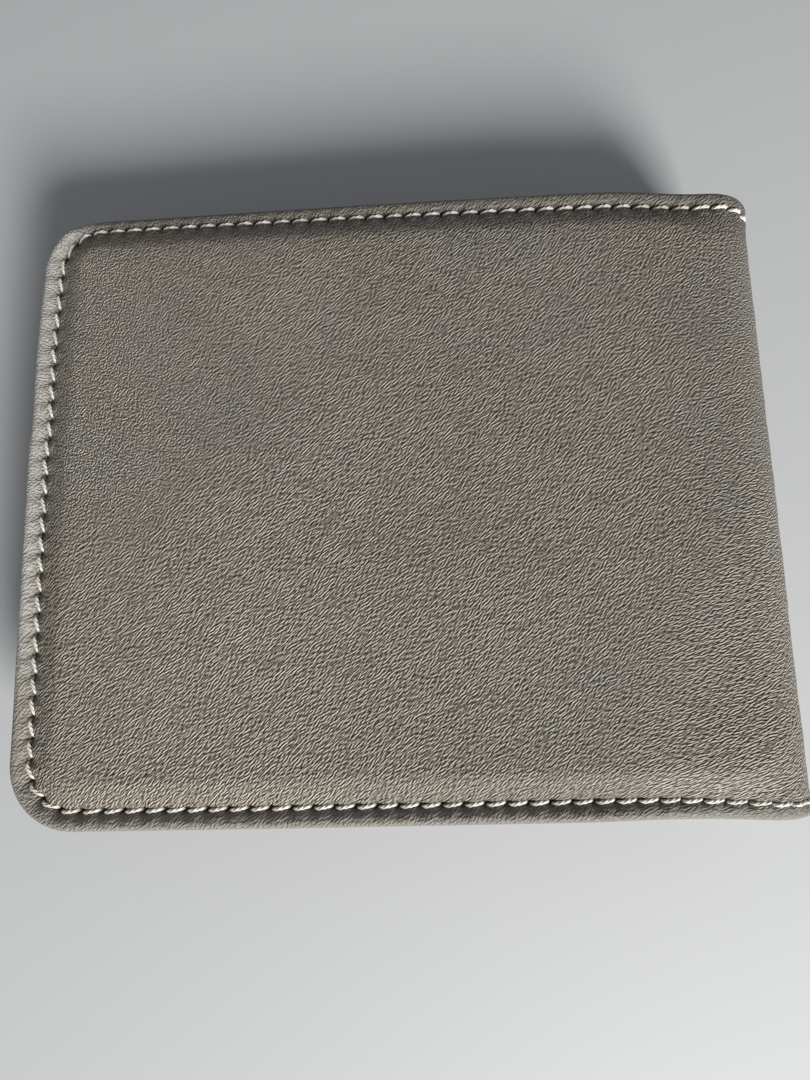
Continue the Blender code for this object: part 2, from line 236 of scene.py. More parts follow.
def round_corner(u, v, corner_u, corner_v, radius):
    """Bends a grid's square left corner into an arc, each line keeping its distance to the edge."""
    sign_v = 1 if corner_v <= v.mean() else -1
    p = radius - (u - corner_u)
    q = radius - (v - corner_v) * sign_v
    inside = (p > 0) & (q > 0)
    longest = np.where(inside, np.maximum(p, q), 1.0)
    share = np.where(inside, np.minimum(p, q), 0.0) / longest
    angle = share * math.pi / 4
    major = longest * np.cos(angle)
    minor = longest * np.sin(angle)
    new_p = np.where(p >= q, major, minor)
    new_q = np.where(p >= q, minor, major)
    u = np.where(inside, corner_u + (radius - new_p), u)
    return u, np.where(inside, corner_v + sign_v * (radius - new_q), v)


def coarse(count, stride):
    picks = list(range(0, count - 1, stride))
    return np.array(picks + [count - 1])


def rounded_share(inset, roll):
    """How much of its full thickness a half-round edge has at an inset."""
    t = np.clip(inset / roll, 0.0, 1.0)
    return np.sqrt(np.clip(1 - (1 - t) ** 2, 0.0, 1.0))


def along_roll(lines, roll, both_ends):
    """The grid lines as the leather lies: over a half-round edge they are as far apart as its arc."""
    lines = lines.copy()
    ends = [(lines[0], 1)]
    if both_ends:
        ends.append((lines[-1], -1))
    for end, sign in ends:
        inset = (lines - end) * sign
        angle = np.arcsin(np.clip(1 - inset / roll, 0.0, 1.0))
        lines = np.where(inset < roll, end + sign * roll * (1 - angle), lines)
    return lines


def turned_under(flat_u, flat_v, sides, hem):
    """The pattern of a hem: it carries on outwards past the edge that the leather is turned over."""
    nearest = np.argmin(np.stack(sides), axis=0)
    in_hem = np.minimum.reduce(sides) < hem
    low_u, low_v, high_v = flat_u.min(), flat_v.min(), flat_v.max()
    under_u = np.where(in_hem & (nearest == 0), 2 * low_u - flat_u, flat_u)
    under_v = np.where(in_hem & (nearest == 1), 2 * low_v - flat_v, flat_v)
    return under_u, np.where(in_hem & (nearest == 2), 2 * high_v - flat_v, under_v)


def sheet_faces(nu, nv, stride, cut_right):
    """A sheet's faces, and which grid points its back has as its own. It shares the edges' points."""
    top_index = np.arange(nu * nv).reshape(nu, nv)
    iu, iv = coarse(nu, stride), coarse(nv, stride)
    shared = np.ones((nu, nv), bool)
    shared[1:nu if cut_right else -1, 1:-1] = False
    own = np.zeros((nu, nv), bool)
    own[np.ix_(iu, iv)] = True
    own &= ~shared
    bottom_index = np.where(shared, top_index, -1)
    bottom_index[own] = nu * nv + np.arange(own.sum())
    a, b = top_index[:-1, :-1], top_index[1:, :-1]
    c, d = top_index[1:, 1:], top_index[:-1, 1:]
    faces = np.stack([a, b, c, d], axis=-1).reshape(-1, 4).tolist()
    faces += back_faces(bottom_index, iu, iv, cut_right)
    if cut_right:
        faces += cut_faces(top_index, bottom_index, iv)
    return faces, own


def sheet_mesh(name, us, vs, corners, cut_right, roll, depths, place, stride=3,
               warp=None, dirt_and_painted_shade=None, hem=0.0):
    """A closed sheet over the grid us x vs. depths(u, v, inset) gives its face's and its back's depth.

    Its edges are half-round, except the right one where cut_right is set. The back has only every
    stride-th grid line. corners gives the radii of the left bottom and the left top corner, if round.
    """
    u, v = np.meshgrid(us, vs, indexing="ij")
    lying = [along_roll(us, roll, not cut_right), along_roll(vs, roll, True)]
    lying_u, lying_v = np.meshgrid(*lying, indexing="ij")
    sides = [u - us[0], v - vs[0], vs[-1] - v]
    if not cut_right:
        sides.append(us[-1] - u)
    inset = np.minimum.reduce(sides)
    under_u, under_v = turned_under(lying_u, lying_v, sides, hem)
    grids = [(u, v), (lying_u, lying_v), (under_u, under_v)]
    for corner_v, radius in zip((vs[0], vs[-1]), corners):
        grids = [round_corner(*grid, us[0], corner_v, radius) for grid in grids]
    (u, v), (lying_u, lying_v), (under_u, under_v) = grids
    if warp:
        u, v = warp(u, v)
    face, back = depths(u, v, inset)
    middle = (face + back) / 2
    half = (back - face) / 2 * rounded_share(inset, roll)
    top = place(u, v, middle - half)
    bottom = place(u, v, middle + half)
    faces, own = sheet_faces(len(us), len(vs), stride, cut_right)
    points = np.concatenate([top.reshape(-1, 3), bottom[own]])
    flat = np.stack([lying_u, lying_v], axis=-1).reshape(-1, 2)
    flat = np.concatenate([flat, np.stack([under_u[own], under_v[own]], axis=-1)])
    insets = np.concatenate([inset.ravel(), inset[own]])
    sheet = closed_mesh(name, points, faces, flat, insets)
    # Painted shade, kept per point for the material to darken the colour
    if dirt_and_painted_shade:
        shade = np.concatenate([dirt_and_painted_shade(u, v, inset).ravel(), np.zeros(own.sum())])
        add_values(sheet.data, "dirt_and_painted_shade", shade)
    return sheet


def back_faces(index, iu, iv, cut_right):
    """The back's faces, which take in every fine point where they meet the shared edge."""
    faces = []
    last_u, last_v = index.shape[0] - 1, index.shape[1] - 1
    for i0, i1 in zip(iu[:-1], iu[1:]):
        for j0, j1 in zip(iv[:-1], iv[1:]):
            low = range(i0, i1) if j0 == 0 else [i0]
            right = range(j0, j1) if i1 == last_u and not cut_right else [j0]
            high = range(i1, i0, -1) if j1 == last_v else [i1]
            left = range(j1, j0, -1) if i0 == 0 else [j1]
            ring = [index[i, j0] for i in low] + [index[i1, j] for j in right]
            ring += [index[i, j1] for i in high] + [index[i0, j] for j in left]
            faces.append([int(k) for k in ring])
    return faces


def cut_faces(top_index, bottom_index, iv):
    """The flat end of a sheet that is cut and not rolled."""
    faces = []
    for j0, j1 in zip(iv[:-1], iv[1:]):
        ring = [int(top_index[-1, j]) for j in range(j0, j1 + 1)]
        for j in (j1, j0):
            if bottom_index[-1, j] != top_index[-1, j]:
                ring.append(int(bottom_index[-1, j]))
        faces.append(ring)
    return faces


def new_object(name, data):
    obj = bpy.data.objects.new(name, data)
    bpy.context.scene.collection.objects.link(obj)
    return obj


def add_values(mesh, name, values):
    attribute = mesh.attributes.new(name, "FLOAT", "POINT")
    attribute.data.foreach_set("value", values.astype(np.float32))


def closed_mesh(name, points, faces, flat, insets):
    """A smooth mesh object with its flat pattern as UVs, in millimetres."""
    mesh = bpy.data.meshes.new(name)
    mesh.from_pydata(points.tolist(), [], faces)
    shell = bmesh.new()
    shell.from_mesh(mesh)
    bmesh.ops.recalc_face_normals(shell, faces=shell.faces)
    shell.to_mesh(mesh)
    shell.free()
    corner_points = np.empty(len(mesh.loops), np.int32)
    mesh.loops.foreach_get("vertex_index", corner_points)
    layer = mesh.uv_layers.new(name="pattern")
    layer.uv.foreach_set("vector", flat[corner_points].astype(np.float32).ravel())
    add_values(mesh, "inset", insets)
    mesh.shade_smooth()
    mesh.set_sharp_from_angle(angle=math.radians(60))
    return new_object(name, mesh)


# --- seam line of a leaf ---

TOP_RUN = MID_SPINE_U - CORNER
SEAM_TURN = CORNER - SEAM_INSET
SEAM_CORNER = SEAM_TURN * math.pi / 2
SIDE_RUN = 2 * (TOP_Y - CORNER)
SEAM_MARKS = np.cumsum([TOP_RUN, SEAM_CORNER, SIDE_RUN, SEAM_CORNER])
SEAM_LENGTH = 2 * TOP_RUN + 2 * SEAM_CORNER + SIDE_RUN
STITCHES = round(SEAM_LENGTH / STITCH_PITCH)
PITCH = SEAM_LENGTH / STITCHES


def seam_distance(u, v):
    """How far along the seam a point is, from the top of the spine round to the bottom of it."""
    marks = SEAM_MARKS
    reach = TOP_Y - CORNER
    p = np.maximum(CORNER - u, 0.0)
    q_top = np.maximum(v - reach, 0.0)
    q_low = np.maximum(-v - reach, 0.0)
    top = MID_SPINE_U - u
    side = marks[1] + reach - v
    low = marks[3] + u - CORNER
    nearest_side = u <= np.minimum(TOP_Y - v, TOP_Y + v)
    s = np.where(nearest_side, side, np.where(v > 0, top, low))
    s = np.where((p > 0) & (q_top > 0), marks[0] + SEAM_TURN * np.arctan2(p, q_top), s)
    return np.where((p > 0) & (q_low > 0), marks[2] + SEAM_TURN * np.arctan2(q_low, p), s)


def three_sides(s, inset, marks, turn, corner, low_u, high_u, high_v):
    """(u, v) at distance s round a leaf's top, free side and bottom, at an inset from its edge.

    marks are the distances at which the corners begin and end, turn is the seam's radius there.
    """
    s, inset = np.broadcast_arrays(s, inset)
    radius = corner - inset
    centre_u, centre_v = low_u + corner, high_v - corner
    first = (s - marks[0]) / turn
    second = (s - marks[2]) / turn
    before = [s < mark for mark in marks]
    u = [high_u - s, centre_u - radius * np.sin(first), low_u + inset]
    u.append(centre_u - radius * np.cos(second))
    v = [high_v - inset, centre_v + radius * np.cos(first), centre_v - (s - marks[1])]
    v.append(-centre_v - radius * np.sin(second))
    return np.select(before, u, centre_u + s - marks[3]), np.select(before, v, -high_v + inset)


def seam_point(s, inset):
    return three_sides(s, inset, SEAM_MARKS, SEAM_TURN, CORNER, 0.0, MID_SPINE_U, TOP_Y)


# --- the outer leather ---

PUFF_REACH = 4.2
SPINE_PUFF_REACH = 12.0
SPINE_MARGIN_DEPTH = 0.0


def margin_depth(u):
    """How far the sewn margin lies below the crown: less on the spine, which has no padding."""
    return MARGIN_DEPTH + (SPINE_MARGIN_DEPTH - MARGIN_DEPTH) * smooth(FLAT_LENGTH - 6, FLAT_LENGTH + 6, u)


def puff(u, inset):
    """Depth of the body below its crown, sinking to the sewn margin, more slowly on the spine."""
    on_spine = smooth(FLAT_LENGTH - 4, FLAT_LENGTH + 8, u)
    reach = PUFF_REACH + (SPINE_PUFF_REACH - PUFF_REACH) * on_spine
    t = np.clip((inset - SEAM_INSET) / reach, 0.0, 1.0)
    return margin_depth(u) * (1 - t) ** (1.4 + 0.5 * on_spine)


def hole_share(inset, s, across, along):
    """1 at a needle hole, fading out over the two given distances."""
    phase = s / PITCH
    off_hole = (phase - np.round(phase)) * PITCH
    return bell(off_hole, along) * bell(inset - SEAM_INSET, across)


def seam_relief(u, inset, s):
    """Extra depth by the seam: the groove, the needle holes and the puckers between them."""
    e = inset - SEAM_INSET
    phase = s / PITCH
    uneven = 1 + 0.5 * plane_noise(phase * 0.37, 0 * phase, 21)
    groove = 0.34 * bell(e, 0.50)
    holes = 0.70 * hole_share(inset, s, 0.45, 0.42)
    pucker = 0.17 * np.cos(2 * math.pi * phase) * bell(np.abs(e) - 0.85, 0.7) * uneven
    bead = -0.85 * smooth(SEAM_INSET + 0.2, 0.8, inset) * (1 + 0.25 * (uneven - 1))
    bead = bead * (0.4 + 0.6 * margin_depth(u) / MARGIN_DEPTH)
    return groove + holes + pucker + bead


def seam_painted_shade(u, v, inset):
    """Painted shade in the groove and its holes, on the slope beside them, and below the seam by the
    spine.
    """
    s = seam_distance(u, v)
    groove = 0.55 * bell(inset - SEAM_INSET, 0.34)
    # Less painted shade by the free edge
    shade_eased_by_free_edge = 1 - 0.6 * smooth(SEAM_INSET + 2.5, SEAM_INSET, u)
    beside = 0.30 * bell(inset - 5.2, 2.1) * smooth(-40.0, -25.0, v)
    below = 0.55 * bell(inset - 1.7, 0.9) * smooth(-43.0, -45.0, v) * smooth(70.0, 95.0, u)
    in_seam = np.clip(groove + 0.9 * hole_share(inset, s, 0.50, 0.50), 0.0, 1.0) * shade_eased_by_free_edge
    return np.maximum(in_seam, np.maximum(beside, below))


def body_relief(x, v, inset, seed):
    """Soft lumps and creases of the leather's face, away from the edges."""
    lumps = 0.16 * plane_noise(x / 21, v / 17, seed) + 0.07 * plane_noise(x / 8, v / 7, seed + 1)
    creases = 0.090 * turned_noise(x, v, 32, 11.0, 2.4, seed + 2)
    creases = creases + 0.035 * turned_noise(x, v, 48, 3.6, 1.1, seed + 3)
    return (lumps + creases) * smooth(0.4, 6.0, inset)


def cover_depths(side):
    def depths(u, v, inset):
        s = seam_distance(u, v)
        across_spine = MID_SPINE_U - u if side == "front" else u - MID_SPINE_U
        relief = body_relief(across_spine, v, inset, 11)
        outer = puff(u, inset) + seam_relief(u, inset, s)
        if side == "front":
            # The body crowns a little, and swells at its foot by the spine
            dome = 0.35 * smooth(3.0, 40.0, inset) * smooth(FLAT_LENGTH + 8, FLAT_LENGTH - 12, u)
            swell = 0.55 * bell(u - 105.0, 8.0) * bell(v + 37.5, 5.5)
            outer = outer - relief - dome - swell
        else:
            # The underside lies on the table, so nothing stands out of it but on the spine
            round_spine = smooth(FLAT_LENGTH, FLAT_LENGTH + 5, u)
            lowest = 0.03 - 1.0 * round_spine
            outer = np.maximum(outer - relief * (0.25 + 0.75 * round_spine), lowest)
        inner = HEM_DEPTH + (SHELL_DEPTH - HEM_DEPTH) * smooth(HEM_WIDTH, HEM_WIDTH + 0.5, inset)
        return outer, inner

    return depths


def build_cover(side):
    """The outer leather of a leaf. Its grid lines keep step with the needle holes."""
    step = PITCH / 8
    near = edge_lines(EDGE_ROLL, CORNER, 0.30)
    first_u = MID_SPINE_U - step * math.floor((MID_SPINE_U - CORNER - 0.1) / step)
    along = np.arange(first_u, MID_SPINE_U + step / 2, step)
    us = np.concatenate([near, along])
    reach = TOP_Y - CORNER
    hole_v = (TOP_RUN + SEAM_CORNER + reach) % step
    rows = hole_v + step * np.arange(-400, 400)
    rows = rows[np.abs(rows) < reach - 0.1]
    vs = np.concatenate([-TOP_Y + near, rows, TOP_Y - near[::-1]])
    cover = sheet_mesh(f"{side}_leather", us, vs, (CORNER, CORNER), True, EDGE_ROLL,
                       cover_depths(side), leaf_place(side), dirt_and_painted_shade=seam_painted_shade, hem=HEM_WIDTH)
    if side == "back":
        carry_pattern_on(cover)
    return cover


def carry_pattern_on(piece):
    """Makes the back leaf's flat pattern carry on from the front leaf's, past the spine."""
    layer = piece.data.uv_layers["pattern"]
    flat = np.empty(2 * len(layer.uv), np.float32)
    layer.uv.foreach_get("vector", flat)
    flat[0::2] = 2 * MID_SPINE_U - flat[0::2]
    layer.uv.foreach_set("vector", flat)


# --- stitches ---

# How a stitch is made: its slant and height, and the twisted cord it is cut from
Cord = namedtuple("Cord", "slant rise sink radius plies rings sides")
OUTER_CORD = Cord(slant=0.20, rise=0.30, sink=0.60, radius=0.33, plies=3, rings=15, sides=7)
INNER_CORD = Cord(slant=0.10, rise=0.18, sink=0.30, radius=0.24, plies=2, rings=11, sides=6)


def stitch_row(path, starts, ends, cord):
    """Points and faces of separate stitches, each a short twisted cord whose ends dive down.

    path(s, e, h) gives the point at distance s along the seam, e across it and h above it.
    """
    tau = np.linspace(0.0, 1.0, cord.rings)
    starts = np.asarray(starts)[:, None]
    length = np.asarray(ends)[:, None] - starts
    s = starts + length * tau
    e = np.broadcast_to(cord.slant * (2 * smooth(0.0, 1.0, tau) - 1), s.shape)
    h = np.broadcast_to(cord.rise - (cord.rise + cord.sink) * np.abs(2 * tau - 1) ** 6, s.shape)
    centre = path(s, e, h)
    tangent = unit(np.gradient(centre, axis=1))
    across = path(s, e + 0.05, h) - centre
    across = unit(across - tangent * np.sum(across * tangent, axis=-1, keepdims=True))
    up = np.cross(across, tangent)

    thin = (0.60 + 0.40 * np.sin(math.pi * tau) ** 0.7)[:, None]
    ply_radius = 1.22 * cord.radius / (1 + 1 / math.sin(math.pi / cord.plies))
    lay = (cord.radius - ply_radius) * thin
    ply_radius = (ply_radius * thin)[..., None]
    twist_length = 7.5 * cord.radius
    around = np.linspace(0, 2 * math.pi, cord.sides, endpoint=False)
    points, faces, offset = [], [], 0
    for ply in range(cord.plies):
        turn = 2 * math.pi * (ply / cord.plies + np.abs(length) * tau / twist_length)[..., None]
        core = centre + lay * MM * (across * np.cos(turn) + up * np.sin(turn))
        spread = across[:, :, None] * np.cos(around)[:, None]
        spread = spread + up[:, :, None] * np.sin(around)[:, None]
        ring = core[:, :, None] + ply_radius * MM * spread
        points.append(ring.reshape(-1, 3))
        faces += tube_faces(len(s), cord.rings, cord.sides, offset)
        offset += len(points[-1])
    return np.concatenate(points), faces


def unit(vectors):
    return vectors / np.linalg.norm(vectors, axis=-1, keepdims=True)


def tube_faces(tubes, rings, sides, offset):
    """Faces of many equal tubes, each with its two ends capped."""
    index = offset + np.arange(tubes * rings * sides).reshape(tubes, rings, sides)
    turned = np.roll(index, -1, axis=2)
    quads = np.stack([index[:, :-1], turned[:, :-1], turned[:, 1:], index[:, 1:]], axis=-1)
    faces = quads.reshape(-1, 4).tolist()
    faces += index[:, 0, ::-1].tolist()
    faces += index[:, -1].tolist()
    return faces


def stitches_object(name, rows):
    points, faces, offset = [], [], 0
    for row_points, row_faces in rows:
        points.append(row_points)
        faces += [[k + offset for k in face] for face in row_faces]
        offset += len(row_points)
    points = np.concatenate(points)
    return closed_mesh(name, points, faces, points[:, :2] / MM, np.zeros(len(points)))


def even_stitches(start, end):
    """Starts and ends of stitches that fill a run, with a needle hole between each two."""
    count = max(1, round(abs(end - start) / PITCH))
    holes = np.linspace(start, end, count + 1)
    gap = 0.22 * np.sign(end - start)
    return holes[:-1] + gap, holes[1:] - gap


def sewn(path, start, end, cord=INNER_CORD):
    return stitch_row(path, *even_stitches(start, end), cord)


def straight(place, row, level, cord_up=1):
    """A path straight across a leaf at u = row, on a surface whose depth level(u, v) gives."""
    return lambda s, e, h: place(row + e, s, level(row + e, s) + cord_up * h)


def on_seam(side, level, cord_up):
    """A path along a leaf's seam, on a surface whose depth level(u, v) gives, rising by cord_up."""
    place = leaf_place(side)

    def path(s, e, h):
        u, _ = seam_point(s, SEAM_INSET + 0 * e)
        steeper = 1 + 0.8 * smooth(CORNER, SEAM_INSET + 1, u)
        u, v = seam_point(s, SEAM_INSET + e * steeper)
        return place(u, v, level(u, v) + cord_up * h)

    return path


# --- the inside of a leaf ---

WALL_INSET = 1.2
WALL_TOP = TOP_Y - 3.5
POCKET_END_X = span("back_pocket_lower")[1].x
POCKET_END_U = POCKET_END_X - FREE_X
POCKET_SEAM_X = POCKET_END_X - 2.5
# pressed and free are a pocket's depth where it is sewn down and where it stands off for a card
Pocket = namedtuple("Pocket", "bottom top pressed free")
POCKETS = {
    "upper": Pocket(16.5, span("back_pocket_upper")[1].y, 4.15, 4.7),
    "middle": Pocket(4.5, span("back_pocket_middle")[1].y, 4.7, 5.6),
    "lower": Pocket(-TOP_Y + WALL_INSET, span("back_pocket_lower")[1].y, 5.25, 6.5),
}
POCKET_LEATHER = 0.5
POCKET_CLOTH = 0.25
WALL_TURNED = 0.18
THIN_ROLL = 0.25


def lines_for(low, high, step, roll=THIN_ROLL, reach=3.0):
    """Grid lines of a thin sheet with half-round edges on both sides."""
    near = edge_lines(roll, reach, step * 0.7)
    return grid_lines(low, high, near, near, step)


def leaf_step():
    return 0.9


def build_lining(side):
    """The cloth of the bill compartment, which starts where the cover's hem ends."""
    edge = HEM_WIDTH + 0.6

    def depths(u, v, inset):
        ripple = 0.06 * turned_noise(u, v, 80, 14.0, 5.0, 31) * smooth(0.5, 6.0, inset)
        return LINING_DEPTH[1] + ripple, LINING_DEPTH[0] + ripple

    near = edge_lines(0.15, 2.0, 0.6)
    us = grid_lines(edge, MID_SPINE_U, near, None, leaf_step())
    vs = grid_lines(-TOP_Y + edge, TOP_Y - edge, near, near, leaf_step() * 1.6)
    return sheet_mesh(f"{side}_lining", us, vs, (), True, 0.15, depths, leaf_place(side))


def build_bill_wall(side):
    """The inner wall of the bill compartment, its top edge turned over and creased."""

    def depths(u, v, inset):
        below_top = WALL_TOP - v
        turned = WALL_TURNED * smooth(7.0, 6.4, below_top)
        crease = -0.12 * bell(below_top - 3.6, 0.35)
        relief = 0.25 * body_relief(u, v, inset, 51)
        return WALL_DEPTH[1] + turned + crease + relief, WALL_DEPTH[0] - 0.3 * turned

    near = edge_lines(0.3, 4.5, 0.35)
    us = grid_lines(WALL_INSET, MID_SPINE_U, near, None, leaf_step())
    vs = grid_lines(-TOP_Y + WALL_INSET, WALL_TOP, near, near, leaf_step())
    corners = (CORNER - WALL_INSET, 5.0)
    return sheet_mesh(f"{side}_bill_wall", us, vs, corners, True, 0.3, depths, leaf_place(side))


def pocket_freedom(u, v, foot):
    """0 where a pocket is sewn down at its ends or foot, 1 where it can stand off for a card."""
    ends = smooth(3.6, 15.0, u) * smooth(2.8, 13.0, POCKET_END_U - u)
    return ends * smooth(3.6, 15.0, v + TOP_Y) if foot else ends


def build_pocket(side, level):
    """One card pocket's leather, its mouth turned over, creased and standing off a little."""
    size = POCKETS[level]
    foot = level == "lower"

    def depths(u, v, inset):
        below = size.top - v
        free = pocket_freedom(u, v, foot)
        sag = 1.0 - 0.12 * np.sin(math.pi * np.clip(u / POCKET_END_U, 0, 1))
        rest = size.pressed + (size.free - size.pressed) * free * sag
        mouth = 0.28 * smooth(6.0, 0.0, below) * free
        turned = 0.10 * smooth(7.6, 7.0, below)
        crease = -0.16 * bell(below - 2.2, 0.35)
        relief = 0.35 * body_relief(u, v, inset, 61 + len(level))
        back = rest + mouth
        return back + POCKET_LEATHER + turned + crease + relief, back

    us = lines_for(WALL_INSET, POCKET_END_U, leaf_step())
    near = edge_lines(THIN_ROLL, 4.2, 0.32)
    vs = grid_lines(size.bottom, size.top, near, near, leaf_step())
    corners = (CORNER - WALL_INSET,) if foot else ()
    name = f"{side}_{level}_pocket"
    return sheet_mesh(name, us, vs, corners, False, THIN_ROLL, depths, leaf_place(side))


def build_pocket_cloth(side, level):
    """The thin cloth that carries on below a strip, behind the next pocket."""
    size = POCKETS[level]
    top = size.bottom - 0.4
    low, _ = span(f"back_pocket_{level}_lining")

    def depths(u, v, inset):
        rest = size.pressed + (size.free - size.pressed) * pocket_freedom(u, v, False)
        return rest + POCKET_CLOTH, rest

    us = lines_for(WALL_INSET + 3.6, POCKET_END_U - 3.6, 3.0, 0.12, 1.0)
    vs = lines_for(low.y, top, 3.0, 0.12, 1.0)
    name = f"{side}_{level}_pocket_cloth"
    return sheet_mesh(name, us, vs, (), False, 0.12, depths, leaf_place(side))


def inner_level(u, v):
    """Depth of the inner face where the seam goes through the stack of pressed layers."""
    on_pockets = u < POCKET_END_U
    level = np.full(np.shape(u), WALL_DEPTH[1])
    level = np.where(v > WALL_TOP - 6.4, WALL_DEPTH[1] + WALL_TURNED, level)
    for name in ("upper", "middle", "lower"):
        size = POCKETS[name]
        face = size.pressed + POCKET_LEATHER
        level = np.where(on_pockets & (v < size.top + 0.2), face, level)
    return level


# --- building the outer leaves ---

GROOVE = 0.32


def build_seam_stitches(side):
    """The needle thread on the cover, and the bobbin thread on the hem of the bill compartment."""
    outer_path = on_seam(side, lambda u, v: margin_depth(u) + GROOVE, -1)
    hem_path = on_seam(side, lambda u, v: HEM_DEPTH, 1)
    outer = sewn(outer_path, 0.0, SEAM_LENGTH, OUTER_CORD)
    inner = sewn(hem_path, 0.0, TOP_RUN + 1)
    return stitches_object(f"{side}_seam_stitches", [outer, inner])


def build_inner_stitches(side):
    """The bobbin thread on the inner face, and the upright row that ends the card pockets."""
    rows = []
    marks = [TOP_RUN + 3.0]
    for name in ("upper", "middle", "lower"):
        marks.append(TOP_RUN + SEAM_CORNER + TOP_Y - CORNER - POCKETS[name].top)
    marks.append(SEAM_LENGTH - (MID_SPINE_U - POCKET_END_U))
    marks.append(SEAM_LENGTH)
    for start, end in zip(marks[:-1], marks[1:]):
        rows.append(sewn(on_seam(side, inner_level, 1), start + 0.3, end - 0.3))
    upright = straight(leaf_place(side), POCKET_SEAM_X - FREE_X, inner_level)
    stops = [POCKETS["upper"].top - 0.8, POCKETS["middle"].top, POCKETS["lower"].top]
    stops.append(-TOP_Y + SEAM_INSET + 1)
    for start, end in zip(stops[:-1], stops[1:]):
        rows.append(sewn(upright, start, end + 0.4))
    return stitches_object(f"{side}_inner_stitches", rows)


def build_wall_stitches(side):
    """The row along the turned top edge of the bill wall, round to the middle of the spine."""
    place = leaf_place(side)
    row_v = WALL_TOP - 2.0

    def path(s, e, h):
        return place(s, row_v + e, WALL_DEPTH[1] + 0.16 + h)

    row = sewn(path, SEAM_INSET + 3.5, MID_SPINE_U)
    return stitches_object(f"{side}_wall_stitches", [row])


def blend_round_spine(piece, side):
    """Bakes a piece's placement into its mesh; the piece is already bent round the spine as it is built.
    """
    if side == "back":
        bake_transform(piece)
    else:
        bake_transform(piece)


def dress(piece, looks, slot, *stands_for):
    """Gives a piece the look of a slot, and hides the CAD nodes that it stands for."""
    piece.data.materials.append(looks[slot])
    if stands_for:
        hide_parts(*stands_for)


def build_leaf(side, looks):
    body = f"{side}_leaf"
    threads = (f"seam_thread_{side}", "spine_thread_top", "spine_thread_bottom")
    round_spine = (
        (build_cover, "outer_leather", 0.0, (f"cover_{side}", "cover_spine", f"padding_{side}")),
        (build_seam_stitches, "thread", 0.0, threads),
        (build_lining, "lining_fabric", LINING_DEPTH[0], (f"lining_{side}", "lining_spine")),
        (build_bill_wall, "inner_leather", WALL_DEPTH[1], (f"bill_wall_{side}", "bill_wall_spine")),
        (build_inner_stitches, "thread", WALL_DEPTH[1], ()),
        (build_wall_stitches, "thread", WALL_DEPTH[1], ()),
    )
    for build, slot, depth, stands_for in round_spine:
        piece = build(side)
        dress(piece, looks, slot, *stands_for)
        blend_round_spine(piece, side)
    for level in POCKETS:
        pocket = build_pocket(side, level)
        dress(pocket, looks, "inner_leather", f"{side}_pocket_{level}")
        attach(pocket, body)
    for level in ("upper", "middle"):
        cloth = build_pocket_cloth(side, level)
        dress(cloth, looks, "lining_fabric", f"{side}_pocket_{level}_lining")
        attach(cloth, body)


# --- the centre leaf ---

PAGE_LOW, PAGE_HIGH = span("centre_panel")
PAGE_CORNER = 6.0
PAGE_CORE = 0.35
PAGE_SEAM = 2.4
# Depths of the layers on the page's two faces, where they are sewn down to it
WINDOW_BACK = -0.40
SLIP_BACK = 0.37
HINGE_X = joint_place("centre_fold").x
STRIP_TOP_Y = span("centre_hinge_strip")[1].y
SLIP_TOP = span("centre_slip_pocket")[1].y
FILM_LOW, FILM_HIGH = span("id_window_film")
WINDOW_LOW = FILM_LOW + Vector((3.0, 3.0, 0))
WINDOW_HIGH = FILM_HIGH - Vector((3.0, 3.0, 0))
WINDOW_CORNER = 4.0
NOTCH_X = -1.65
NOTCH_HALF_WIDTH = 12.0
NOTCH_DEPTH = 8.0


def page_freedom(u, v, top):
    """0 by the page's sewn sides, 1 where a layer can stand off the page."""
    ends = smooth(3.4, 12.0, u - PAGE_LOW.x) * smooth(3.4, 12.0, PAGE_HIGH.x - u)
    free = ends * smooth(3.4, 12.0, v - PAGE_LOW.y)
    return free * smooth(3.4, 12.0, PAGE_HIGH.y - v) if top else free


def build_page_core():
    """The stiff page, which runs on towards the spine as its leather hinge."""

    def narrow(u, v):
        share = smooth(PAGE_HIGH.x - 0.6, PAGE_HIGH.x + 1.8, u)
        return u, v * (1 - (1 - STRIP_TOP_Y / PAGE_HIGH.y) * share)

    def depths(u, v, inset):
        thin = PAGE_CORE * (1 - 0.35 * smooth(PAGE_HIGH.x + 0.5, PAGE_HIGH.x + 2.5, u))
        relief = 0.08 * body_relief(u, v, inset, 71)
        return thin + relief, -thin + relief

    near = edge_lines(0.25, 3.0, 0.6)
    us = grid_lines(PAGE_LOW.x, HINGE_X - 0.1, near, None, 1.0)
    vs = grid_lines(PAGE_LOW.y, PAGE_HIGH.y, near, near, 1.2)
    return sheet_mesh("page_core", us, vs, (PAGE_CORNER, PAGE_CORNER), True, 0.25, depths,
                      page_place, stride=1, warp=narrow)


def build_slip_pocket():
    """The open pocket on the page's other face, with a thumb notch in its mouth."""
    low, high = PAGE_LOW.y, SLIP_TOP

    def notched(u, v):
        share = 1 - smooth(0.0, 1.0, np.abs(u - NOTCH_X) / NOTCH_HALF_WIDTH)
        reach = smooth(high - 22, high, v)
        return u, v - NOTCH_DEPTH * share * reach * (v - low) / (high - low)

    def depths(u, v, inset):
        free = page_freedom(u, v, False)
        back = SLIP_BACK + 0.73 * free
        groove = -0.12 * bell(inset - 1.6, 0.3)
        relief = 0.3 * body_relief(u, v, inset, 73)
        return back + POCKET_LEATHER + groove + relief, back

    us = lines_for(PAGE_LOW.x, PAGE_HIGH.x, leaf_step())
    vs = lines_for(low, high, leaf_step())
    return sheet_mesh("page_slip_pocket", us, vs, (PAGE_CORNER,), False, THIN_ROLL, depths,
                      page_place, warp=notched)


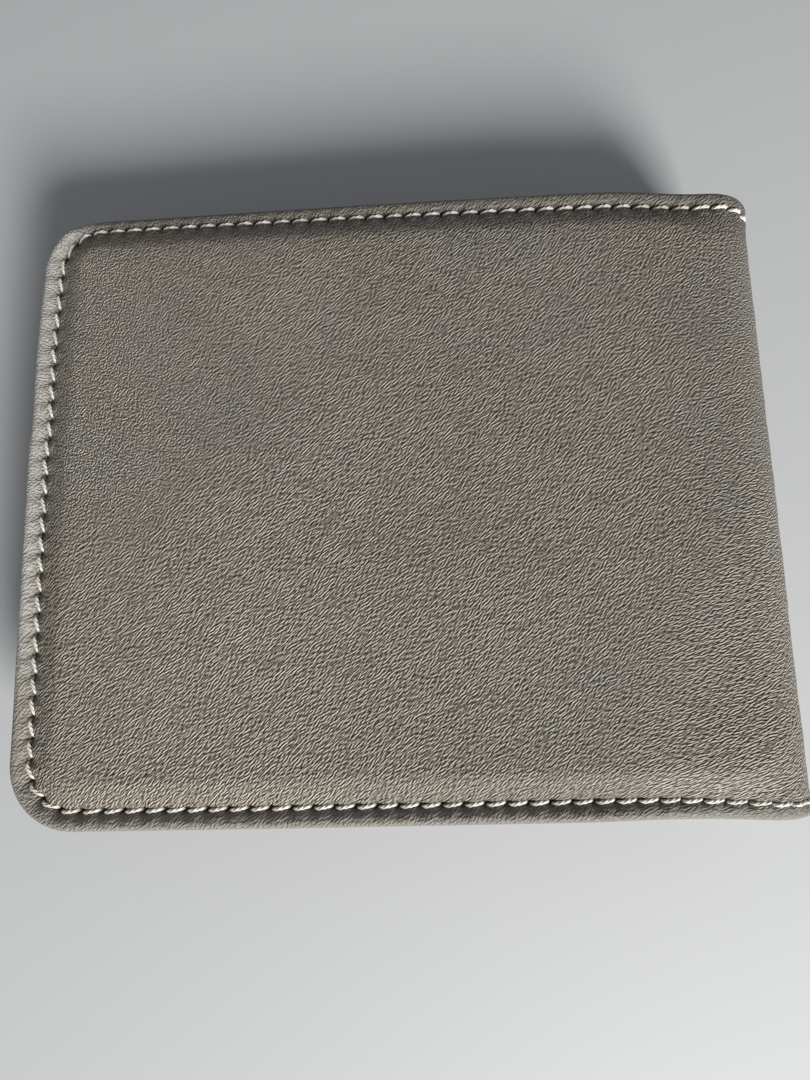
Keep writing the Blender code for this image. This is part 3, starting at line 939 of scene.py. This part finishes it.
def build_window_film():
    def depths(u, v, inset):
        ripple = 0.05 * turned_noise(u, v, 20, 30.0, 12.0, 81)
        sunk = WINDOW_BACK - 0.35 * page_freedom(u, v, True)
        return sunk - 0.15 + ripple, sunk + ripple

    us = lines_for(FILM_LOW.x, FILM_HIGH.x, 2.0, 0.07, 1.0)
    vs = lines_for(FILM_LOW.y, FILM_HIGH.y, 2.0, 0.07, 1.0)
    return sheet_mesh("id_film", us, vs, (), False, 0.07, depths, page_place, stride=1)


def rounded_outline(low, high, corners, side_count=28, corner_count=8):
    """Points round a rectangle, with equal counts on each side and corner.

    corners gives the radius at the right top, left top, left bottom and right bottom.
    """
    centres = [(high.x, high.y, 0), (low.x, high.y, 1), (low.x, low.y, 2), (high.x, low.y, 3)]
    arcs = []
    for (x, y, quarter), radius in zip(centres, corners):
        angles = (quarter + np.linspace(0, 1, corner_count + 1)) * math.pi / 2
        out = np.stack([np.cos(angles), np.sin(angles)], axis=-1)
        sign = np.sign(np.array([math.cos(angles.mean()), math.sin(angles.mean())]))
        arcs.append(np.array([x, y]) - sign * radius + radius * out)
    points = []
    for arc, following in zip(arcs, arcs[1:] + arcs[:1]):
        points.append(arc)
        share = np.linspace(0, 1, side_count + 1)[1:-1, None]
        points.append(arc[-1] * (1 - share) + following[0] * share)
    return np.concatenate(points)


def build_window_frame():
    """The leather frame of the window: a flat ring with two rolled edges."""
    hole = rounded_outline(WINDOW_LOW, WINDOW_HIGH, [WINDOW_CORNER] * 4)
    rim = rounded_outline(PAGE_LOW, PAGE_HIGH, [0.6, PAGE_CORNER, PAGE_CORNER, 0.6])
    near = edge_lines(THIN_ROLL, 3.2, 0.4)
    width = np.linalg.norm(rim - hole, axis=-1)[:, None]
    middle = near[-1] + (width - 2 * near[-1]) * np.linspace(0, 1, 6)[1:-1]
    across = np.concatenate([near + 0 * width, middle, width - near[::-1]], axis=1)
    share = (across / width)[..., None]
    flat = hole[:, None] * (1 - share) + rim[:, None] * share
    inset = np.minimum(across, width - across)
    u, v = flat[..., 0], flat[..., 1]
    back = WINDOW_BACK - 0.55 * page_freedom(u, v, True)
    relief = 0.25 * body_relief(u, v, inset, 83)
    groove = 0.12 * bell(across - 1.6, 0.3)
    face = back - POCKET_LEATHER + groove - relief
    half = (back - face) / 2 * rounded_share(inset, THIN_ROLL)
    top = page_place(u, v, (face + back) / 2 - half)
    bottom = page_place(u, v, (face + back) / 2 + half)[:, 1:-1]

    rows, columns = across.shape
    upper = np.arange(rows * columns).reshape(rows, columns)
    lower = upper.copy()
    lower[:, 1:-1] = rows * columns + np.arange(rows * (columns - 2)).reshape(rows, -1)
    faces = []
    for index in (upper, lower):
        turned = np.roll(index, -1, axis=0)
        quads = [index[:, :-1], index[:, 1:], turned[:, 1:], turned[:, :-1]]
        faces += np.stack(quads, axis=-1).reshape(-1, 4).tolist()
    points = np.concatenate([top.reshape(-1, 3), bottom.reshape(-1, 3)])
    pattern = np.concatenate([flat.reshape(-1, 2), flat[:, 1:-1].reshape(-1, 2)])
    insets = np.concatenate([inset.ravel(), inset[:, 1:-1].ravel()])
    return closed_mesh("id_frame", points, faces, pattern, insets)


def page_path(depth, sign):
    """Along the page's three sewn sides, from the spine end of the top round to that of the bottom."""
    low, high = PAGE_LOW, PAGE_HIGH
    turn = PAGE_CORNER - PAGE_SEAM
    top_run = high.x - low.x - PAGE_CORNER
    side_run = high.y - low.y - 2 * PAGE_CORNER
    marks = np.cumsum([top_run, turn * math.pi / 2, side_run, turn * math.pi / 2])

    def path(s, e, h):
        u, v = three_sides(s, PAGE_SEAM + e, marks, turn, PAGE_CORNER, low.x, high.x, high.y)
        return page_place(u, v, depth(u, v) + sign * h)

    return path, marks[3] + top_run


def build_page_stitches():
    """The page's seam, seen on its window face all round and on its pocket face."""

    def window_face(u, v):
        return WINDOW_BACK - POCKET_LEATHER

    def pocket_face(u, v):
        return np.where(v < SLIP_TOP, SLIP_BACK + POCKET_LEATHER, PAGE_CORE)

    window_path, length = page_path(window_face, -1)
    pocket_path, _ = page_path(pocket_face, 1)
    rows = [sewn(path, 1.0, length - 1.0) for path in (window_path, pocket_path)]
    for face, cord_up, top in ((window_face, -1, PAGE_HIGH.y - 3.0), (pocket_face, 1, SLIP_TOP - 1.0)):
        row = straight(page_place, PAGE_HIGH.x - 1.8, face, cord_up)
        rows.append(sewn(row, top, PAGE_LOW.y + 3.0))
    return stitches_object("page_stitches", rows)


FLANGE_REACH = 3.0
FLANGE_THICKNESS = 0.5
FLANGE_ROW = 1.6


def flange_place(u, v, depth):
    """On the inside of the spine: u runs up it and depth stands off it."""
    u, v, depth = np.broadcast_arrays(u, v, depth)
    x = SPINE_X - WALL_DEPTH[1] - 0.05 - depth
    return np.stack([x, v, THICKNESS / 2 + u], axis=-1) * MM


def build_flange():
    """The strip that holds the page's hinge on the spine."""

    def depths(u, v, inset):
        root = 0.25 * bell(u, 0.7)
        return FLANGE_THICKNESS + root, np.zeros(np.shape(u))

    us = lines_for(-FLANGE_REACH, FLANGE_REACH, 0.4, THIN_ROLL, 1.2)
    vs = lines_for(-STRIP_TOP_Y, STRIP_TOP_Y, 2.0, THIN_ROLL, 1.2)
    return sheet_mesh("hinge_flange", us, vs, (), False, THIN_ROLL, depths, flange_place, stride=1)


def build_flange_stitches():
    rows = []
    for row in (-FLANGE_ROW, FLANGE_ROW):
        path = straight(flange_place, row, lambda u, v: FLANGE_THICKNESS)
        rows.append(sewn(path, STRIP_TOP_Y - 1.5, -STRIP_TOP_Y + 1.5))
    return stitches_object("hinge_stitches", rows)


def build_page(looks):
    core = build_page_core()
    dress(core, looks, "inner_leather", "centre_panel", "centre_hinge_strip")
    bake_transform(core)
    riders = (
        (build_slip_pocket, "centre_leaf", "inner_leather", ("centre_slip_pocket",)),
        (build_window_film, "centre_leaf", "window_film", ("id_window_film",)),
        (build_window_frame, "centre_leaf", "inner_leather", ("id_window_frame",)),
        (build_page_stitches, "centre_leaf", "thread", ()),
        (build_flange, "spine", "inner_leather", ()),
        (build_flange_stitches, "spine", "thread", ()),
    )
    for build, body, slot, stands_for in riders:
        piece = build()
        dress(piece, looks, slot, *stands_for)
        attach(piece, body)


# --- materials ---


class Wiring:
    """A material under construction. Each method adds a node and gives back its main output."""

    def __init__(self, name):
        self.material = bpy.data.materials.new(name)
        self.material.use_nodes = True
        self.tree = self.material.node_tree
        self.tree.nodes.clear()

    def node(self, kind, inputs=(), **settings):
        node = self.tree.nodes.new("ShaderNode" + kind)
        for key, value in settings.items():
            setattr(node, key, value)
        for key, value in dict(inputs).items():
            if isinstance(value, bpy.types.NodeSocket):
                self.tree.links.new(value, node.inputs[key])
            else:
                node.inputs[key].default_value = value
        return node

    def math(self, operation, a, b=0.0, c=0.0, clamp=False):
        inputs = {0: a, 1: b, 2: c}
        return self.node("Math", inputs, operation=operation, use_clamp=clamp).outputs[0]

    def times(self, a, b):
        return self.math("MULTIPLY", a, b)

    def pattern(self):
        return self.node("UVMap", uv_map="pattern").outputs["UV"]

    def split(self, vector):
        parts = self.node("SeparateXYZ", {0: vector})
        return parts.outputs[0], parts.outputs[1]

    def attribute(self, name):
        return self.node("Attribute", attribute_name=name).outputs["Fac"]

    def stretched(self, vector, degrees, length, width):
        """The plane turned and scaled so that one unit is length along degrees and width across."""
        turn = self.node("VectorRotate", {"Vector": vector, "Angle": -math.radians(degrees)},
                         rotation_type="Z_AXIS").outputs[0]
        scale = (1 / length, 1 / width, 1)
        inputs = {0: turn, 1: scale}
        return self.node("VectorMath", inputs, operation="MULTIPLY").outputs[0]

    def noise(self, vector, scale=1.0, detail=2.0, roughness=0.5, distortion=0.0):
        inputs = {"Vector": vector, "Scale": scale, "Detail": detail}
        inputs.update({"Roughness": roughness, "Distortion": distortion})
        return self.node("TexNoise", inputs).outputs["Fac"]

    def remap(self, value, low, high, to_low=0.0, to_high=1.0, smooth_step=True):
        kind = "SMOOTHSTEP" if smooth_step else "LINEAR"
        inputs = {"Value": value, "From Min": low, "From Max": high}
        inputs.update({"To Min": to_low, "To Max": to_high})
        return self.node("MapRange", inputs, interpolation_type=kind).outputs["Result"]

    def mix(self, share, a, b, blend="MIX"):
        node = self.node("Mix", data_type="RGBA", blend_type=blend, clamp_factor=True)
        for key, value in ((0, share), (6, a), (7, b)):
            if isinstance(value, bpy.types.NodeSocket):
                self.tree.links.new(value, node.inputs[key])
            else:
                node.inputs[key].default_value = (*value, 1) if key else value
        return node.outputs[2]

    def bump(self, height, distance):
        return self.node("Bump", {"Height": height, "Distance": distance, "Strength": 1.0}).outputs[0]

    def finish(self, surface):
        output = self.node("OutputMaterial")
        self.tree.links.new(surface, output.inputs["Surface"])
        return self.material

    def finish_plain(self, colour, roughness, normal, more):
        inputs = {"Base Color": colour, "Roughness": roughness, "Normal": normal, **more}
        return self.finish(self.node("BsdfPrincipled", inputs).outputs[0])


def leather_grain(w, plane, x, y, size):
    """Wavy strokes over the leaf: twice their height, and how steeply their flanks face one way."""

    def strokes(degrees, length, width, offset):
        moved = w.node("VectorMath", {0: plane, 1: (offset, offset, 0)}, operation="ADD")
        at = w.stretched(moved.outputs[0], degrees, length * size, width * size)
        flanks = []
        for lag in (0.25, -0.25):
            shifted = w.node("VectorMath", {0: at, 1: (0, lag, 0)}, operation="ADD")
            flanks.append(w.noise(shifted.outputs[0], detail=0.0, distortion=0.15))
        return w.math("ADD", *flanks), w.math("SUBTRACT", *flanks)

    def crossfade(share, a, b):
        return [w.math("MULTIPLY_ADD", w.math("SUBTRACT", q, p), share, p) for p, q in zip(a, b)]

    pebbly = strokes(50, 0.34, 0.23, 0.0)
    steep = strokes(43, 0.66, 0.21, 7.0)
    flat = strokes(24, 0.76, 0.20, 3.0)
    # They follow on one another along the leaf, with uneven borders
    where = w.noise(plane, scale=1 / 38, detail=1.0)
    lean = w.math("MULTIPLY_ADD", x, 0.008, w.times(y, -0.003))
    lean = w.math("ADD", lean, w.times(where, 0.8))
    pebbly_to_steep = crossfade(w.remap(lean, 0.25, 0.80), pebbly, steep)
    return crossfade(w.remap(lean, 0.95, 1.45), pebbly_to_steep, flat)


def margin_wear_and_highlight(w, x, y, inset, fine):
    """How far the margin is paled by rubbing and by painted highlight: where a thumb opens the leaf, and a
    little along its foot.
    """
    rubbed_and_lit = w.times(w.remap(inset, 3.2, 1.2), w.remap(fine, 0.3, 0.7, 0.7, 1.0))
    by_free_edge = w.times(w.remap(x, 11.0, 2.5), w.remap(y, -34.0, -14.0, 0.2, 1.0))
    along_foot = w.remap(y, -20.0, 30.0, 0.27, 0.02)
    return w.times(rubbed_and_lit, w.math("MAXIMUM", by_free_edge, along_foot))


def leather(name, tones, grain):
    """Full-grain leather. tones holds its warm and cool colours and the pale colour of its rubbing and
    painted highlights, grain its scale and depth.
    """
    w = Wiring(name)
    plane = w.pattern()
    x, y = w.split(plane)
    inset = w.attribute("inset")
    doubled, facing = leather_grain(w, plane, x, y, grain["size"])
    fine = w.noise(plane, scale=5.0 / grain["size"], detail=1.5, roughness=0.6)
    crease = w.noise(w.stretched(plane, 29, 9.0, 1.5), detail=2.0, roughness=0.5, distortion=0.3)
    crease_where = w.remap(w.noise(plane, scale=1 / 26, detail=1.0), 0.42, 0.66)
    crease = w.times(w.math("SUBTRACT", crease, 0.5), crease_where)
    height = w.math("MULTIPLY_ADD", fine, 0.12, w.remap(doubled, 0.72, 1.24))
    height = w.math("MULTIPLY_ADD", crease, grain["crease"], height)

    patch = w.noise(plane, scale=1 / 17, detail=3.0, roughness=0.55)
    broad = w.noise(plane, scale=1 / 46, detail=2.0, roughness=0.5)
    warmth = w.remap(w.math("ADD", patch, w.times(broad, 0.8)), 0.72, 1.08)
    colour = w.mix(warmth, tones["cool"], tones["warm"])
    # Painted light and shade: one flank of a stroke is painted lit and the other dark, calmer by the edge
    facing = w.math("MULTIPLY_ADD", w.math("SUBTRACT", fine, 0.5), 0.30, facing)
    lit = w.remap(facing, -0.19, 0.25, smooth_step=False)
    shade = w.mix(w.math("POWER", lit, 1.6), grain["painted_dark_flank"], grain["painted_lit_flank"])
    shade = w.mix(w.remap(inset, 3.2, 0.3, 0.0, 0.82), shade, (0.95, 0.95, 0.95))
    colour = w.mix(1.0, colour, shade, "MULTIPLY")
    # Paler by the free edge and on the spine, and darker along the top, which is painted shade
    broad_tone_and_painted_top_shade = w.times(w.remap(x, 8.0, 75.0, 1.06, 0.86), w.remap(x, 98.0, 112.0, 1.0, 1.03))
    broad_tone_and_painted_top_shade = w.times(broad_tone_and_painted_top_shade, w.remap(y, 35.0, 45.0, 1.0, 0.82))
    colour = w.mix(1.0, colour, broad_tone_and_painted_top_shade, "MULTIPLY")
    # Pale rubbing and painted highlight on the margin
    rubbed_and_lit = margin_wear_and_highlight(w, x, y, inset, fine)
    colour = w.mix(w.times(rubbed_and_lit, grain["wear_and_highlight_amount"]), colour, tones["pale_wear_and_highlight"])
    # Painted glints: pale flecks scattered over the grain
    painted_glint = w.remap(w.noise(plane, scale=3.1, detail=1.0), 0.66, 0.78, 0.0, 0.35)
    colour = w.mix(painted_glint, colour, tones["pale_wear_and_highlight"])
    # Painted shade at the seam: its groove, holes and slopes darkened towards the dark edge colour
    colour = w.mix(w.times(w.attribute("dirt_and_painted_shade"), 0.85), colour, tones["edge"])
    colour = w.mix(w.remap(inset, 0.30, 0.02, 0.0, grain["edge"]), colour, tones["edge"])

    depth_share = w.remap(height, 0.25, 1.25)
    roughness = w.remap(depth_share, 0.0, 1.0, 0.76, grain["polish"], smooth_step=False)
    more = {"Specular IOR Level": 0.36, "Sheen Weight": 0.06, "Sheen Roughness": 0.5}
    return w.finish_plain(colour, roughness, w.bump(height, grain["depth"] * MM), more)


def waxed_thread():
    w = Wiring("thread_look")
    plane = w.pattern()
    dirt_and_painted_shade = w.noise(plane, scale=0.35, detail=3.0)
    fibre = w.noise(w.stretched(plane, 35, 0.7, 0.08), detail=3.0, roughness=0.6)
    colour = w.mix(w.remap(dirt_and_painted_shade, 0.35, 0.72), (0.86, 0.84, 0.78), (0.66, 0.62, 0.53))
    colour = w.mix(w.remap(fibre, 0.3, 0.7, 0.25, 0.0), colour, (0.35, 0.30, 0.23))
    return w.finish_plain(colour, 0.55, w.bump(fibre, 0.05 * MM), {"Sheen Weight": 0.15})


def twill():
    w = Wiring("lining_look")
    plane = w.pattern()
    x, y = w.split(plane)
    pitch = 0.42
    slow = w.noise(plane, scale=0.5, detail=2.0)

    def wave(along):
        turn = w.math("MULTIPLY_ADD", slow, 0.6, w.times(along, 2 * math.pi / pitch))
        return w.math("MULTIPLY_ADD", w.math("SINE", turn), 0.5, 0.5)

    rib = wave(w.math("ADD", x, y))
    weft = wave(w.times(y, 2.0))
    height = w.math("MULTIPLY_ADD", weft, 0.35, rib)
    fibre = w.noise(plane, scale=9.0, detail=3.0)
    height = w.math("MULTIPLY_ADD", fibre, 0.25, height)
    patch = w.noise(plane, scale=0.06, detail=3.0)
    colour = w.mix(w.remap(patch, 0.35, 0.65), (0.050, 0.044, 0.038), (0.072, 0.062, 0.052))
    # Painted shade in the weave's hollows and painted light on its raised threads
    shade = w.mix(w.remap(height, 0.2, 1.4), (0.55, 0.55, 0.55), (1.35, 1.32, 1.28))
    colour = w.mix(1.0, colour, shade, "MULTIPLY")
    return w.finish_plain(colour, 0.72, w.bump(height, 0.05 * MM), {"Sheen Weight": 0.25})


def clear_film():
    w = Wiring("film_look")
    plane = w.pattern()
    scuff = w.noise(w.stretched(plane, 64, 11.0, 0.35), detail=3.0, roughness=0.6)
    haze = w.remap(scuff, 0.56, 0.74, 0.05, 0.20)
    facing = w.node("LayerWeight", {"Blend": 0.22}).outputs["Fresnel"]
    solid = w.math("ADD", haze, w.times(facing, 0.55), clamp=True)
    normal = w.bump(w.noise(plane, scale=0.09, detail=1.0), 0.35 * MM)
    clear = w.node("BsdfTransparent", {"Color": (0.95, 0.96, 0.95, 1)})
    inputs = {"Base Color": (0.78, 0.79, 0.78, 1), "Roughness": 0.09, "Normal": normal}
    plastic = w.node("BsdfPrincipled", inputs)
    mixed = w.node("MixShader", {0: solid, 1: clear.outputs[0], 2: plastic.outputs[0]})
    return w.finish(mixed.outputs[0])


def make_looks():
    """A material for each of the record's slots. Tones are the leather's base colours."""
    cover_tones = {
        "warm": (0.175, 0.156, 0.128),
        "cool": (0.170, 0.156, 0.133),
        "pale_wear_and_highlight": (0.43, 0.42, 0.39),
        "edge": (0.030, 0.025, 0.020),
    }
    cover_grain = {"size": 1.0, "depth": 0.12, "crease": 1.8, "wear_and_highlight_amount": 0.95, "edge": 0.0, "polish": 0.46}
    cover_grain.update({"painted_dark_flank": (0.19, 0.18, 0.165), "painted_lit_flank": (2.88, 2.90, 2.94)})
    pocket_tones = {
        "warm": (0.150, 0.118, 0.090),
        "cool": (0.128, 0.112, 0.097),
        "pale_wear_and_highlight": (0.24, 0.21, 0.18),
        "edge": (0.035, 0.028, 0.022),
    }
    pocket_grain = {"size": 0.8, "depth": 0.06, "crease": 0.8, "wear_and_highlight_amount": 0.2, "edge": 0.9, "polish": 0.50}
    pocket_grain.update({"painted_dark_flank": (0.45, 0.44, 0.42), "painted_lit_flank": (1.90, 1.90, 1.92)})
    return {
        "outer_leather": leather("cover_leather_look", cover_tones, cover_grain),
        "inner_leather": leather("pocket_leather_look", pocket_tones, pocket_grain),
        "thread": waxed_thread(),
        "lining_fabric": twill(),
        "window_film": clear_film(),
    }


# --- floor, light and camera ---


def build_floor():
    mesh = bpy.data.meshes.new("floor")
    reach = 4.0
    corners = [(-reach, -reach, 0), (reach, -reach, 0), (reach, reach, 0), (-reach, reach, 0)]
    mesh.from_pydata(corners, [], [(0, 1, 2, 3)])
    floor = new_object("floor", mesh)
    w = Wiring("floor_look")
    inputs = {"Base Color": (0.52, 0.53, 0.54, 1), "Roughness": 0.7}
    mesh.materials.append(w.finish(w.node("BsdfPrincipled", inputs).outputs[0]))


def build_light():
    """A square soft light aimed at the wallet, over the room's own light. Azimuth 0 is +X, 90 is +Y."""
    azimuth, elevation, distance = math.radians(-65), math.radians(31), 0.75
    data = bpy.data.lights.new("key", "AREA")
    data.size = 0.25
    data.energy = 9.0
    data.color = (1.0, 0.985, 0.96)
    light = new_object("key", data)
    out = math.cos(elevation)
    way = Vector((out * math.cos(azimuth), out * math.sin(azimuth), math.sin(elevation)))
    light.location = way * distance
    light.rotation_euler = way.to_track_quat("Z", "Y").to_euler()
    world = bpy.data.worlds.new("soft_room")
    world.use_nodes = True
    background = world.node_tree.nodes["Background"]
    background.inputs["Color"].default_value = (0.92, 0.95, 1.0, 1)
    background.inputs["Strength"].default_value = 0.22
    bpy.context.scene.world = world
    bpy.context.scene.view_settings.view_transform = "Standard"


def build_camera():
    data = bpy.data.cameras.new("camera")
    data.sensor_width = 36
    data.sensor_fit = "VERTICAL"
    data.sensor_height = 36
    data.lens = 23.8
    data.clip_start = 0.005
    camera = new_object("camera", data)
    camera.location = Vector((0.65, -24.24, 122.8)) * MM
    camera.rotation_euler = [math.radians(a) for a in (9.21, 0.42, -1.57)]
    bpy.context.scene.camera = camera


looks = make_looks()
build_leaf("front", looks)
build_leaf("back", looks)
build_page(looks)
build_floor()
build_light()
build_camera()
